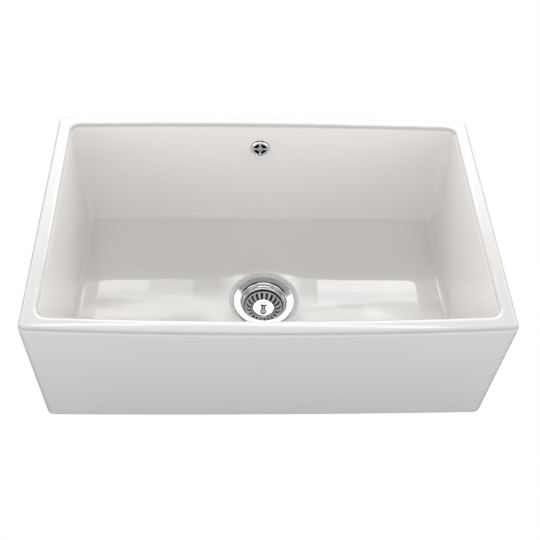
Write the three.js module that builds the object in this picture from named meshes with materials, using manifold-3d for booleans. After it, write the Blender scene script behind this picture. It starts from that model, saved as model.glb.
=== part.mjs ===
// Farmhouse apron front sink in white fireclay, with a basket strainer waste and an overflow.
// Millimetres, +Z up, +X to the right and +Y to the back. The front apron faces -Y.
// The origin lies on the axis of the waste, in the plane of the sink's underside.

import * as THREE from 'three';
import { mergeVertices } from 'three/addons/utils/BufferGeometryUtils.js';
import Module from 'manifold-3d';

const wasm = await Module();
wasm.setup();

// ---------------------------------------------------------------- driving dimensions

// Fireclay body
const sinkWidth = 760;
const sinkHeight = 267;
const frontY = -229; // front face at its vertical corners
const backY = 248; // back face at its vertical corners
const apronBowTop = 8.5; // how far the apron swells at mid width, at the rim
const apronBowFoot = 2.5;
const backBow = 3;
const wallThickness = 27;
const outerCornerRadius = 12;
const innerCornerRadius = 15;
const rimOuterRounding = 8;
const rimInnerRounding = 8.6;
const footRounding = 10;
const floorFillet = 12;
const floorHeightAtWalls = 34;
const floorHeightAtDish = 29;
const innerBowFront = 7.5;
const innerBowBackTop = 5;
const innerBowBackFoot = 3;
const sideDraft = 3; // how far the inner side walls come in between rim and floor
const frontDraft = 3;
const backDraft = 12;

// Waste hole in the fireclay
const dishRadius = 67.5;
const seatRadius = 58;
const seatHeight = 24.2;
const wasteHoleRadius = 46;
const recessRadius = 75;
const recessDepth = 5;

// Basket strainer waste
const flangeRadius = 57.2;
const flangeTop = 28;
const pressedSheet = 1;
const bowlFloor = -16;
const floorPlateRadius = 29.6; // the bowl's floor plate is welded in at this radius
const windowInner = 10.5; // four windows in the bowl's floor
const windowOuter = 20.5;
const windowSpan = 60; // degrees
const collarRadius = 55;
const collarTop = 1.6;
const collarThickness = 4.6;
const bodyRadius = 45;
const bodyWall = 3;
const coneTop = -38;
const coneBottom = -58;
const tailRadius = 23.9; // outside of a 1 1/2 inch pipe thread
const tailBore = 19;
const bodyBottom = -84;
const bossRadius = 9.8;
const bossBottom = -39;
const weldSeam = 0.1; // left between the parts of one moulding or pressing

// Strainer basket and what hangs under it
const basketSheet = 0.8;
const basketLipRadius = 35.8;
const slotCount = 20;
const slotWidth = 3.2;
const slotInner = 23.2;
const slotOuter = 33.1;
const discTop = 4.6;
const knobHeadRadius = 7.3;
const knobWaistRadius = 3.7;
const knobTop = 17.8;
const studRadius = 1.9;
const pegRadius = 2.4;
const boltRadius = 5.2;
const boltBore = 3.4;
const boltNutFlats = 13;

// Overflow
const overflowX = -8;
const overflowHeight = 213.8;
const overflowHoleRadius = 14;
const roseRadius = 18.6;
const petalInner = 5.4;
const petalOuter = 12.8;
const petalSpan = 62; // degrees
const screwRadius = 2;
const screwNutFlats = 7;
const elbowRadius = 21.5;
const elbowWall = 3;
const elbowDepth = 27; // from the fireclay to the elbow's closed end
const spigotSetback = 15.5; // axis of the elbow's outlet, behind the fireclay
const spigotEnd = 180; // height of its open end
const pipeRadius = 10.5; // threaded ends that take the hose nuts
const pipeBore = 7.5;
const inletHeight = -22;
const inletEnd = 62;
const nutRadius = 13.8;
const nutGrips = 12;
const hoseRadius = 9;
const hoseTroughRadius = 7.7;
const hoseBore = 6.6;
const hoseCuff = 15;
const hoseRibs = 66;

const clearance = 0.3; // left between pieces that touch

// ---------------------------------------------------------------- finishes

function finish(color, roughness, metalness) {
  return new THREE.MeshStandardMaterial({ color, roughness, metalness });
}

const glaze = () => finish(0xf4f3f0, 0.12, 0);
const polishedSteel = () => finish(0xc9cacb, 0.16, 1);
const springSteel = () => finish(0x9b9c9e, 0.35, 1);
const chrome = () => finish(0xd4d6d8, 0.06, 1);
const brass = () => finish(0xb8964f, 0.35, 1);
const whitePlastic = () => finish(0xe6e6e2, 0.5, 0);
const greyPlastic = () => finish(0xb9bbbb, 0.5, 0);
const rubber = () => finish(0x1f1f20, 0.8, 0);
const foam = () => finish(0x3a3a3b, 0.95, 0);

// ---------------------------------------------------------------- how solids are made

const degrees = (angle) => (angle * Math.PI) / 180;
const mix = (a, b, t) => a + (b - a) * t;

// A closed mesh with shared vertices, no collapsed triangles and its faces pointing out.
function closed(geometry) {
  const bare = new THREE.BufferGeometry();
  bare.setAttribute('position', geometry.getAttribute('position'));
  bare.setIndex(geometry.getIndex());
  const merged = mergeVertices(bare, 1e-4);
  const position = merged.getAttribute('position');
  const index = merged.getIndex().array;
  const a = new THREE.Vector3();
  const b = new THREE.Vector3();
  const c = new THREE.Vector3();
  const kept = [];
  let volume = 0;
  for (let i = 0; i < index.length; i += 3) {
    const [p, q, r] = [index[i], index[i + 1], index[i + 2]];
    if (p === q || q === r || r === p) continue;
    kept.push(p, q, r);
    a.fromBufferAttribute(position, p);
    b.fromBufferAttribute(position, q);
    c.fromBufferAttribute(position, r);
    volume += a.dot(b.cross(c));
  }
  if (volume < 0) kept.reverse();
  merged.setIndex(kept);
  return merged;
}

function solid(geometry) {
  const mesh = closed(geometry);
  const vertProperties = new Float32Array(mesh.getAttribute('position').array);
  const triVerts = new Uint32Array(mesh.getIndex().array);
  return new wasm.Manifold(new wasm.Mesh({ numProp: 3, vertProperties, triVerts }));
}

function geometryOf(manifold) {
  const mesh = manifold.getMesh();
  const geometry = new THREE.BufferGeometry();
  geometry.setAttribute('position', new THREE.BufferAttribute(new Float32Array(mesh.vertProperties), 3));
  geometry.setIndex(Array.from(mesh.triVerts));
  return closed(geometry);
}

// Turns a closed profile of [radius, height] points about the Z axis.
function turned(profile, segments = 32) {
  const points = [...profile, profile[0]].map(([radius, height]) => new THREE.Vector2(radius, height));
  return new THREE.LatheGeometry(points, segments).rotateX(Math.PI / 2);
}

// The closed profile of a pressed sheet, from its visible side given from the outside inwards.
function sheetProfile(points, thickness) {
  const hidden = points.map((point, i) => {
    const before = points[Math.max(i - 1, 0)];
    const after = points[Math.min(i + 1, points.length - 1)];
    const along = new THREE.Vector2(after[0] - before[0], after[1] - before[1]).normalize();
    return [point[0] - along.y * thickness, point[1] + along.x * thickness];
  });
  return [...points, ...hidden.reverse()];
}

function washerProfile(inner, outer, bottom, top) {
  return [[inner, bottom], [outer, bottom], [outer, top], [inner, top]];
}

function rod(radius, bottom, top, segments = 32) {
  return solid(turned([[0, bottom], [radius, bottom], [radius, top], [0, top]], segments));
}

// The same rod along Y, at a place [x, z].
function rodAlongY(radius, from, to, x, z, segments = 32) {
  const geometry = new THREE.CylinderGeometry(radius, radius, to - from, segments);
  return solid(geometry.translate(x, (from + to) / 2, z));
}

// A flat shape drawn out along Z from one height to another.
function prism(shape, bottom, top, curveSegments = 2) {
  const settings = { depth: top - bottom, bevelEnabled: false, curveSegments };
  return new THREE.ExtrudeGeometry(shape, settings).translate(0, 0, bottom);
}

function ringOfPoints(count, radiusAt) {
  return Array.from({ length: count }, (_, i) => {
    const angle = (2 * Math.PI * i) / count;
    return [radiusAt(i) * Math.cos(angle), radiusAt(i) * Math.sin(angle)];
  });
}

function polygon(points) {
  return new THREE.Shape(points.map(([x, y]) => new THREE.Vector2(x, y)));
}

function hexagon(acrossFlats) {
  return polygon(ringOfPoints(6, () => acrossFlats / Math.sqrt(3)));
}

// Part of a flat ring, centred on an angle in degrees.
function ringSector(inner, outer, middle, span) {
  const from = degrees(middle - span / 2);
  const to = degrees(middle + span / 2);
  const shape = new THREE.Shape();
  shape.absarc(0, 0, outer, from, to, false);
  shape.absarc(0, 0, inner, to, from, true);
  return shape;
}

// A slot with round ends that runs outwards along X.
function radialSlot(inner, outer, width) {
  const half = width / 2;
  const shape = new THREE.Shape();
  shape.absarc(outer - half, 0, half, -Math.PI / 2, Math.PI / 2, false);
  shape.absarc(inner + half, 0, half, Math.PI / 2, (3 * Math.PI) / 2, false);
  return shape;
}

// Joins rings of equally many points into one skin that also closes on itself.
function loftedRing(rings) {
  const count = rings[0].length;
  const index = [];
  for (let r = 0; r < rings.length; r += 1) {
    const here = r * count;
    const next = ((r + 1) % rings.length) * count;
    for (let i = 0; i < count; i += 1) {
      const j = (i + 1) % count;
      index.push(here + i, here + j, next + j);
      index.push(here + i, next + j, next + i);
    }
  }
  const geometry = new THREE.BufferGeometry();
  geometry.setAttribute('position', new THREE.Float32BufferAttribute(rings.flat(2), 3));
  geometry.setIndex(index);
  return geometry;
}

const sink = new THREE.Group();

function place(name, geometry, material, parent = sink) {
  const mesh = new THREE.Mesh(closed(geometry), material);
  mesh.name = name;
  parent.add(mesh);
}

// ---------------------------------------------------------------- fireclay body

const sideSteps = 4; // along a side wall
const longSteps = 16; // along the front or the back
const cornerSteps = 4;
const outlineCount = 2 * sideSteps + 2 * longSteps + 4 * cornerSteps;

// A rounded rectangle whose front and back swell at mid width. It starts at the middle of the
// right side and runs anticlockwise, so that its point i faces point i of a circle.
function outline(plan, height) {
  const { halfWidth, front, back, radius, bowFront, bowBack } = plan;
  const straight = halfWidth - radius;
  const swell = (x) => 1 - (x / straight) ** 2;
  const points = [];
  const corner = (x, y, start) => {
    for (let i = 0; i < cornerSteps; i += 1) {
      const angle = degrees(start + (90 * i) / cornerSteps);
      points.push([x + radius * Math.cos(angle), y + radius * Math.sin(angle), height]);
    }
  };
  const side = (x, from, to) => {
    for (let i = 0; i < sideSteps; i += 1) points.push([x, mix(from, to, i / sideSteps), height]);
  };
  const long = (from, to, y, bow) => {
    for (let i = 0; i < longSteps; i += 1) {
      const x = mix(from, to, i / longSteps);
      points.push([x, y + bow * swell(x), height]);
    }
  };
  side(halfWidth, front + radius, back - radius);
  corner(straight, back - radius, 0);
  long(straight, -straight, back, bowBack);
  corner(-straight, back - radius, 90);
  side(-halfWidth, back - radius, front + radius);
  corner(-straight, front + radius, 180);
  long(-straight, straight, front, -bowFront);
  corner(straight, front + radius, 270);
  const middle = sideSteps / 2;
  return [...points.slice(middle), ...points.slice(0, middle)];
}

function circle(radius, height) {
  return ringOfPoints(outlineCount, () => radius).map(([x, y]) => [x, y, height]);
}

function inset(plan, distance) {
  return {
    ...plan,
    halfWidth: plan.halfWidth - distance,
    front: plan.front + distance,
    back: plan.back - distance,
    radius: plan.radius - distance,
  };
}

const outerFoot = {
  halfWidth: sinkWidth / 2,
  front: frontY,
  back: backY,
  radius: outerCornerRadius,
  bowFront: apronBowFoot,
  bowBack: backBow,
};
const outerTop = { ...outerFoot, bowFront: apronBowTop };
const innerTop = {
  halfWidth: sinkWidth / 2 - wallThickness,
  front: frontY + wallThickness,
  back: backY - wallThickness,
  radius: innerCornerRadius,
  bowFront: innerBowFront,
  bowBack: innerBowBackTop,
};
const innerFoot = {
  ...innerTop,
  halfWidth: innerTop.halfWidth - sideDraft,
  front: innerTop.front + frontDraft,
  back: innerTop.back - backDraft,
  bowBack: innerBowBackFoot,
};
const innerWallTop = sinkHeight - rimInnerRounding;
const innerWallFoot = floorHeightAtWalls + floorFillet;

// Stations of a quarter turn: how far along its first and its second direction.
function quarterTurn(steps) {
  return Array.from({ length: steps + 1 }, (_, i) => {
    const angle = degrees((90 * i) / steps);
    return [1 - Math.cos(angle), Math.sin(angle)];
  });
}

// The floor falls gently from the walls to the dish round the waste.
function floorRings(edge) {
  const dish = circle(dishRadius, floorHeightAtDish);
  const between = [0.3, 0.6, 0.85].map((t) => {
    const height = mix(floorHeightAtWalls, floorHeightAtDish, t);
    return edge.map(([x, y], i) => [mix(x, dish[i][0], t), mix(y, dish[i][1], t), height]);
  });
  return [...between, dish];
}

// One skin: underside, foot, outer wall, rim, inner wall, floor, dish, waste hole and recess.
function basinSkin() {
  const rings = [circle(recessRadius, 0)];
  for (const [rise, out] of quarterTurn(3)) {
    rings.push(outline(inset(outerFoot, footRounding * (1 - out)), footRounding * rise));
  }
  for (const [inwards, rise] of quarterTurn(3)) {
    const height = sinkHeight - rimOuterRounding * (1 - rise);
    rings.push(outline(inset(outerTop, rimOuterRounding * inwards), height));
  }
  for (const [drop, inwards] of quarterTurn(3)) {
    const height = sinkHeight - rimInnerRounding * drop;
    rings.push(outline(inset(innerTop, -rimInnerRounding * (1 - inwards)), height));
  }
  for (const [inwards, drop] of quarterTurn(4)) {
    rings.push(outline(inset(innerFoot, floorFillet * inwards), innerWallFoot - floorFillet * drop));
  }
  rings.push(...floorRings(rings.at(-1)));
  rings.push(circle(dishRadius - 2, floorHeightAtDish - 0.5));
  rings.push(circle(seatRadius + 1.2, seatHeight + 1));
  rings.push(circle(seatRadius, seatHeight));
  rings.push(circle(wasteHoleRadius + 1.5, seatHeight));
  rings.push(circle(wasteHoleRadius, seatHeight - 1.5));
  rings.push(circle(wasteHoleRadius, recessDepth));
  rings.push(circle(recessRadius, recessDepth));
  return loftedRing(rings);
}

function buildBasin() {
  const overflowHole = rodAlongY(overflowHoleRadius, backY - 60, backY + 20, overflowX, overflowHeight);
  return geometryOf(solid(basinSkin()).subtract(overflowHole));
}

place('sink_basin', buildBasin(), glaze());

// ---------------------------------------------------------------- basket strainer waste

// Pressed bowl: flange, rolled mouth, two steps, wall and the turn into its floor.
const flangeBowlVisible = [
  [flangeRadius, seatHeight + 0.7],
  [flangeRadius, flangeTop - 0.7],
  [flangeRadius - 0.8, flangeTop],
  [46, flangeTop - 1.4],
  [42.4, flangeTop - 3],
  [41.2, 20.2],
  [39.2, 18.8],
  [38.6, 16],
  [37.2, 15],
  [36, bowlFloor + 8],
  [34, bowlFloor + 2.4],
  [30.6, bowlFloor],
  [floorPlateRadius, bowlFloor],
];

// Floor plate of the bowl, with the bolt's hole and four windows.
function buildBowlFloor() {
  const plateBottom = bowlFloor - pressedSheet;
  let plate = solid(turned(washerProfile(
    boltRadius + 0.4,
    floorPlateRadius - weldSeam,
    plateBottom,
    bowlFloor,
  )));
  for (const middle of [0, 90, 180, 270]) {
    const window = ringSector(windowInner, windowOuter, middle, windowSpan);
    plate = plate.subtract(solid(prism(window, plateBottom - 1, bowlFloor + 1)));
  }
  return geometryOf(plate);
}

// Moulded body below the sink: collar and cup, with the overflow's hole at the back.
const cupRadius = bodyRadius - bodyWall;

function buildWasteBody() {
  const collarUnderside = collarTop - collarThickness;
  const cup = solid(turned([
    [cupRadius, coneTop],
    [bodyRadius, coneTop],
    [bodyRadius, collarUnderside],
    [collarRadius, collarUnderside],
    [collarRadius, collarTop],
    [cupRadius, collarTop],
  ]));
  return geometryOf(cup.subtract(rodAlongY(pipeBore, cupRadius - 8, bodyRadius + 1, 0, inletHeight)));
}

// Cone and threaded tail under the cup.
const wasteTailProfile = [
  [tailBore, bodyBottom],
  [tailRadius - 1.2, bodyBottom],
  [tailRadius, bodyBottom + 1.2],
  [tailRadius, coneBottom],
  [bodyRadius, coneTop - weldSeam],
  [cupRadius, coneTop - weldSeam],
  [tailBore, coneBottom],
];

// Spider that holds the bolt's nut: a boss on four webs.
function buildSpider() {
  const webTop = -22;
  const webThickness = 3;
  const reach = rod(cupRadius - weldSeam, coneTop, webTop);
  let spider = rod(bossRadius, bossBottom, bowlFloor - pressedSheet - clearance);
  for (const angle of [45, 135]) {
    const web = new THREE.BoxGeometry(2 * cupRadius + 2, webThickness, 2 * (webTop - coneTop));
    web.rotateZ(degrees(angle)).translate(0, 0, coneTop);
    spider = spider.add(solid(web).intersect(reach));
  }
  const nutPocket = solid(prism(hexagon(boltNutFlats + 2 * clearance), bossBottom - 1, bossBottom + 6.8));
  return geometryOf(spider.subtract(rod(boltRadius + 0.4, bossBottom - 1, 0)).subtract(nutPocket));
}

// Threaded stub on the cup's back that takes the overflow hose.
function buildInletStub() {
  return geometryOf(
    rodAlongY(pipeRadius, cupRadius - 2, inletEnd, 0, inletHeight)
      .subtract(rodAlongY(pipeBore, cupRadius - 3, inletEnd + 1, 0, inletHeight))
      .subtract(rod(bodyRadius + weldSeam, coneTop, collarTop)),
  );
}

// Hollow bolt that draws the bowl and the body together. The basket's peg snaps into its bore.
function buildCentreBolt() {
  const headBottom = bowlFloor + clearance;
  const headTop = headBottom + 3;
  const headRadius = 8.5;
  const shankEnd = bossBottom - 1.5;
  const boreEnd = shankEnd + 4;
  const bolt = solid(turned([
    [0, shankEnd],
    [boltRadius - 0.8, shankEnd],
    [boltRadius, shankEnd + 0.8],
    [boltRadius, headBottom],
    [headRadius, headBottom],
    [headRadius, headTop - 0.8],
    [headRadius - 0.8, headTop],
    [boltBore + 0.8, headTop],
    [boltBore, headTop - 0.8],
    [boltBore, boreEnd],
    [0, boreEnd],
  ], 24));
  const driverSlot = new THREE.BoxGeometry(2 * headRadius + 2, 2, 2);
  return geometryOf(bolt.subtract(solid(driverSlot.translate(0, 0, headTop))));
}

function hexNut(acrossFlats, bore, bottom, top) {
  const blank = solid(prism(hexagon(acrossFlats), bottom, top));
  return geometryOf(blank.subtract(rod(bore, bottom - 1, top + 1, 24)));
}

const flangeGasketProfile = [
  [wasteHoleRadius + 1.6, seatHeight + clearance],
  [flangeRadius - 1.8, seatHeight + clearance],
  [flangeRadius - 1.8, flangeTop - 1.8],
  [wasteHoleRadius + 1.6, flangeTop - 2.8],
];

const undersideGasketProfile = washerProfile(
  wasteHoleRadius + 0.6,
  collarRadius + 1,
  collarTop + clearance,
  recessDepth - clearance,
);

place('waste_flange_bowl', turned(sheetProfile(flangeBowlVisible, pressedSheet)), polishedSteel());
place('waste_bowl_floor', buildBowlFloor(), polishedSteel());
place('flange_gasket', turned(flangeGasketProfile, 24), foam());
place('underside_gasket', turned(undersideGasketProfile, 24), rubber());
place('waste_body', buildWasteBody(), whitePlastic());
place('waste_tail', turned(wasteTailProfile), whitePlastic());
place('waste_spider', buildSpider(), whitePlastic());
place('waste_inlet_stub', buildInletStub(), whitePlastic());
place('centre_bolt', buildCentreBolt(), brass());
place('bolt_nut', hexNut(boltNutFlats, boltRadius + clearance, bossBottom + 0.5, bossBottom + 6.5), brass());

// ---------------------------------------------------------------- lift-out strainer

const strainer = new THREE.Group();
sink.add(strainer);

// Pressed basket: rolled lip, slotted wall and valley, and a raised disc for the knob.
function buildBasket() {
  const visible = [
    [basketLipRadius, 8.6],
    [basketLipRadius - 0.3, 10],
    [34.2, 10],
    [33.4, 8.4],
    [32.2, 4.2],
    [29.8, 0],
    [26.6, -1.4],
    [23.6, 0],
    [21.2, discTop - 0.8],
    [19.6, discTop],
    [studRadius + 0.6, discTop],
  ];
  const facets = 2 * slotCount;
  const skin = turned(sheetProfile(visible, basketSheet), facets).rotateZ(Math.PI / facets);
  let basket = solid(skin);
  for (let i = 0; i < slotCount; i += 1) {
    const slot = prism(radialSlot(slotInner, slotOuter, slotWidth), -5, discTop + 3.2);
    basket = basket.subtract(solid(slot.rotateZ(degrees((360 * i) / slotCount + 90))));
  }
  return geometryOf(basket);
}

// Waisted knob that flares to a domed head, drilled from below for the stem's stud.
const knobBottom = discTop + clearance;
const knobBoreTop = 12.5;
const knobProfile = [
  [studRadius + clearance, knobBottom],
  [knobWaistRadius + 1, knobBottom],
  [knobWaistRadius + 1, knobBottom + 0.6],
  [knobWaistRadius + 0.2, knobBottom + 1.6],
  [knobWaistRadius, knobBottom + 3.6],
  [knobWaistRadius + 0.5, knobTop - 6.4],
  [knobWaistRadius + 1.7, knobTop - 4],
  [knobHeadRadius - 0.5, knobTop - 2.4],
  [knobHeadRadius, knobTop - 1.7],
  [knobHeadRadius - 0.3, knobTop - 1],
  [knobHeadRadius * 0.7, knobTop - 0.3],
  [knobHeadRadius * 0.35, knobTop],
  [0, knobTop],
  [0, knobBoreTop],
  [studRadius + clearance, knobBoreTop],
];

// Stud for the knob, collar under the disc, neck and barb for the seal, and the peg.
const stemCollarTop = discTop - basketSheet - clearance;
const sealTop = -4.8;
const sealBottom = -9;
const barbBottom = -10.6;
const pegBottom = -27;
const clipTop = -20.9;
const clipBottom = -22.3;
const clipGrooveRadius = 1.6;
const neckRadius = 3;
const stemProfile = [
  [0, pegBottom],
  [pegRadius - 0.9, pegBottom],
  [pegRadius, pegBottom + 1.2],
  [pegRadius, clipBottom - clearance],
  [clipGrooveRadius, clipBottom - clearance],
  [clipGrooveRadius, clipTop + clearance],
  [pegRadius, clipTop + clearance],
  [pegRadius, barbBottom],
  [neckRadius + 0.6, barbBottom],
  [neckRadius + 1.6, sealBottom - clearance],
  [neckRadius, sealBottom - clearance],
  [neckRadius, sealTop + clearance],
  [neckRadius + 2, sealTop + clearance],
  [neckRadius + 2, stemCollarTop],
  [studRadius, stemCollarTop],
  [studRadius, knobBoreTop - 1],
  [0, knobBoreTop - 1],
];

// Rubber seal: a soft disc that ends in a lip, pressed on the bowl's floor outside its windows.
const sealLip = bowlFloor + clearance;
const sealRadius = 24.6;
const sealProfile = [
  [neckRadius + clearance, sealTop],
  [8, sealTop],
  [19.6, sealTop - 2],
  [sealRadius - 1, sealTop - 5.4],
  [sealRadius, sealLip],
  [sealRadius - 1.6, sealLip],
  [sealRadius - 2.8, sealTop - 6.6],
  [18.4, sealBottom - 0.6],
  [8, sealBottom],
  [neckRadius + clearance, sealBottom],
];

// Sprung ring in the peg's groove, open on one side.
function buildSpringClip() {
  const opening = 60;
  const ring = ringSector(clipGrooveRadius + clearance, boltBore - 0.4, 180, 360 - opening);
  return prism(ring, clipBottom, clipTop, 6);
}

place('strainer_basket', buildBasket(), polishedSteel(), strainer);
place('basket_knob', turned(knobProfile, 24), polishedSteel(), strainer);
place('basket_stem', turned(stemProfile, 20), springSteel(), strainer);
place('basket_seal', turned(sealProfile), rubber(), strainer);
place('stem_spring_clip', buildSpringClip(), springSteel(), strainer);

// ---------------------------------------------------------------- overflow

const innerDrop = innerTop.back + innerTop.bowBack - innerFoot.back - innerFoot.bowBack;
const innerBackSlope = Math.atan(innerDrop / (innerWallTop - innerWallFoot));
const roseDrop = innerWallTop - overflowHeight;
const innerBackY = innerTop.back + innerTop.bowBack - roseDrop * Math.tan(innerBackSlope);
const outerBackY = backY + backBow;

// The rose lies flat on the sloping inner wall and faces the bowl.
const roseFrame = new THREE.Group();
roseFrame.position.set(overflowX, innerBackY, overflowHeight);
roseFrame.rotation.x = Math.PI / 2 - innerBackSlope;
sink.add(roseFrame);

function buildRose() {
  const visible = [
    [roseRadius, clearance + 0.1],
    [roseRadius - 0.1, 1.4],
    [17, 2.7],
    [13.4, 4],
    [9, 5],
    [4.8, 5.3],
    [4.2, 3.1],
    [screwRadius + 0.8, 3],
  ];
  let rose = solid(turned(sheetProfile(visible, pressedSheet)));
  for (const middle of [45, 135, 225, 315]) {
    const petal = ringSector(petalInner, petalOuter, middle, petalSpan);
    rose = rose.subtract(solid(prism(petal, 0, 7)));
  }
  return geometryOf(rose);
}

place('overflow_rose', buildRose(), chrome(), roseFrame);

// Behind the sink: +Z of this frame points backwards, away from the fireclay, and +Y points down.
const elbowFrame = new THREE.Group();
elbowFrame.position.set(overflowX, outerBackY, overflowHeight);
elbowFrame.rotation.x = -Math.PI / 2;
sink.add(elbowFrame);

const gasketThickness = 3;
const elbowFront = gasketThickness + 2 * clearance;
const screwBossFront = 8;
const screwNutTop = screwBossFront + 6;

// Round chamber behind the wall with a boss for the screw and a spigot that points down.
function buildElbow() {
  const chamberEnd = elbowDepth - elbowWall;
  const outside = solid(turned([
    [0, elbowFront],
    [elbowRadius, elbowFront],
    [elbowRadius, elbowDepth - 2],
    [elbowRadius - 2, elbowDepth],
    [0, elbowDepth],
  ]));
  const spigotLength = overflowHeight - spigotEnd;
  const spigot = rodAlongY(pipeRadius, 14, spigotLength, 0, spigotSetback);
  const spigotHollow = rodAlongY(pipeBore, 11, spigotLength + 1, 0, spigotSetback);
  const chamber = rod(elbowRadius - elbowWall, elbowFront - 1, chamberEnd);
  const boss = rod(5.5, screwBossFront, chamberEnd + 1, 24);
  const nutPocket = solid(prism(hexagon(screwNutFlats + 2 * clearance), screwBossFront - 1, screwNutTop));
  const tipBore = rod(screwRadius + 0.4, screwBossFront, 21, 24);
  const shell = outside.add(spigot).subtract(chamber).subtract(spigotHollow);
  return geometryOf(shell.add(boss).subtract(nutPocket).subtract(tipBore));
}

// Long screw that pulls the rose and the elbow together through the wall.
function buildOverflowScrew() {
  const wall = outerBackY - innerBackY;
  const headUnderside = -wall - 3.5;
  const headTop = headUnderside - 1.7;
  const headRadius = 3.2;
  const screw = solid(turned([
    [0, headTop],
    [headRadius - 1.2, headTop],
    [headRadius, headTop + 0.9],
    [headRadius, headUnderside],
    [screwRadius, headUnderside],
    [screwRadius, 18.5],
    [screwRadius - 0.8, 19.5],
    [0, 19.5],
  ], 24));
  const driverSlot = new THREE.BoxGeometry(0.9, 2 * headRadius + 2, 1.6);
  driverSlot.rotateZ(degrees(35)).translate(0, 0, headTop);
  return geometryOf(screw.subtract(solid(driverSlot)));
}

const overflowGasketProfile = washerProfile(
  overflowHoleRadius + 0.6,
  elbowRadius - 0.5,
  clearance,
  clearance + gasketThickness,
);
place('overflow_gasket', turned(overflowGasketProfile, 24), foam(), elbowFrame);
place('overflow_elbow', buildElbow(), greyPlastic(), elbowFrame);
place('overflow_screw', buildOverflowScrew(), springSteel(), elbowFrame);
place(
  'screw_nut',
  hexNut(screwNutFlats, screwRadius + clearance, screwBossFront + clearance, screwNutTop - clearance),
  brass(),
  elbowFrame,
);

// ---------------------------------------------------------------- overflow hose and its nuts

// A nut with grips that clamps a cone washer round the hose. Its frame has the threaded end it
// screws on at z = 0, and the hose leaves along +Z.
const nutEndWall = 3;
const nutWasherRoom = 5;
const nutOverlap = 10;

function buildHoseNut() {
  const gripDepth = 1.1;
  const grips = ringOfPoints(4 * nutGrips, (i) => (i % 4 < 2 ? nutRadius : nutRadius - gripDepth));
  const nutEnd = nutWasherRoom + nutEndWall;
  return geometryOf(
    solid(prism(polygon(grips), -nutOverlap, nutEnd))
      .subtract(rod(pipeRadius + clearance, -nutOverlap - 1, nutWasherRoom))
      .subtract(rod(hoseRadius + 0.4, 0, nutEnd + 1)),
  );
}

const coneWasherProfile = [
  [hoseRadius + clearance, clearance],
  [pipeRadius, clearance],
  [pipeRadius, nutWasherRoom / 2],
  [pipeRadius - 0.6, nutWasherRoom - clearance],
  [hoseRadius + clearance, nutWasherRoom - clearance],
];

const upperEnd = new THREE.Group();
upperEnd.position.set(overflowX, outerBackY + spigotSetback, spigotEnd);
upperEnd.rotation.x = Math.PI;
const lowerEnd = new THREE.Group();
lowerEnd.position.set(0, inletEnd, inletHeight);
lowerEnd.rotation.x = -Math.PI / 2;
for (const [level, end] of [['upper', upperEnd], ['lower', lowerEnd]]) {
  sink.add(end);
  place(`hose_nut_${level}`, buildHoseNut(), whitePlastic(), end);
  place(`cone_washer_${level}`, turned(coneWasherProfile, 24), rubber(), end);
}

// The hose drops behind the sink, sags under it and rises to the inlet of the waste.
const hoseRoute = new THREE.CatmullRomCurve3([
  new THREE.Vector3(overflowX, outerBackY + spigotSetback, spigotEnd - clearance),
  new THREE.Vector3(overflowX, outerBackY + spigotSetback, spigotEnd - 20),
  new THREE.Vector3(overflowX, 267.5, 120),
  new THREE.Vector3(-7.5, 269, 70),
  new THREE.Vector3(-7, 267, 22),
  new THREE.Vector3(-6, 257, -18),
  new THREE.Vector3(-5, 234, -45),
  new THREE.Vector3(-4, 200, -56),
  new THREE.Vector3(-2.5, 160, -51),
  new THREE.Vector3(-1, 122, -36),
  new THREE.Vector3(0, 98, -26),
  new THREE.Vector3(0, 80, inletHeight),
  new THREE.Vector3(0, inletEnd + clearance, inletHeight),
], false, 'centripetal');

// Rings of eight points square to a curve, at given shares of its length.
function ringsAlong(curve, stations) {
  const side = new THREE.Vector3(1, 0, 0);
  const count = 8;
  return stations.map(([share, radius]) => {
    const centre = curve.getPointAt(share);
    const along = curve.getTangentAt(share);
    side.addScaledVector(along, -side.dot(along)).normalize();
    const other = along.clone().cross(side);
    return ringOfPoints(count, () => radius).map(([a, b]) => {
      const point = centre.clone().addScaledVector(side, a).addScaledVector(other, b);
      return point.toArray();
    });
  });
}

function buildHose() {
  const cuff = hoseCuff / hoseRoute.getLength();
  const pitch = (1 - 2 * cuff) / hoseRibs;
  const outside = [[0, hoseRadius], [cuff, hoseRadius]];
  const bore = [];
  for (let i = 0; i < hoseRibs; i += 1) {
    const start = cuff + i * pitch;
    outside.push([start + pitch * 0.3, hoseTroughRadius], [start + pitch * 0.8, hoseRadius]);
    if (i % 5 === 0) bore.push([start, hoseBore]);
  }
  outside.push([1, hoseRadius]);
  const inside = [[0, hoseBore], ...bore, [1, hoseBore]].reverse();
  return loftedRing(ringsAlong(hoseRoute, [...outside, ...inside]));
}

place('overflow_hose', buildHose(), greyPlastic());

export default sink;
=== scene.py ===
"""Farmhouse apron front sink in white glazed fireclay, with a basket strainer waste and an overflow.

Metres, +Z up, the apron faces -Y. The origin lies on the waste axis in the plane of the underside.
"""

import math

import bmesh
import bpy
from mathutils import Matrix, Vector


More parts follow.
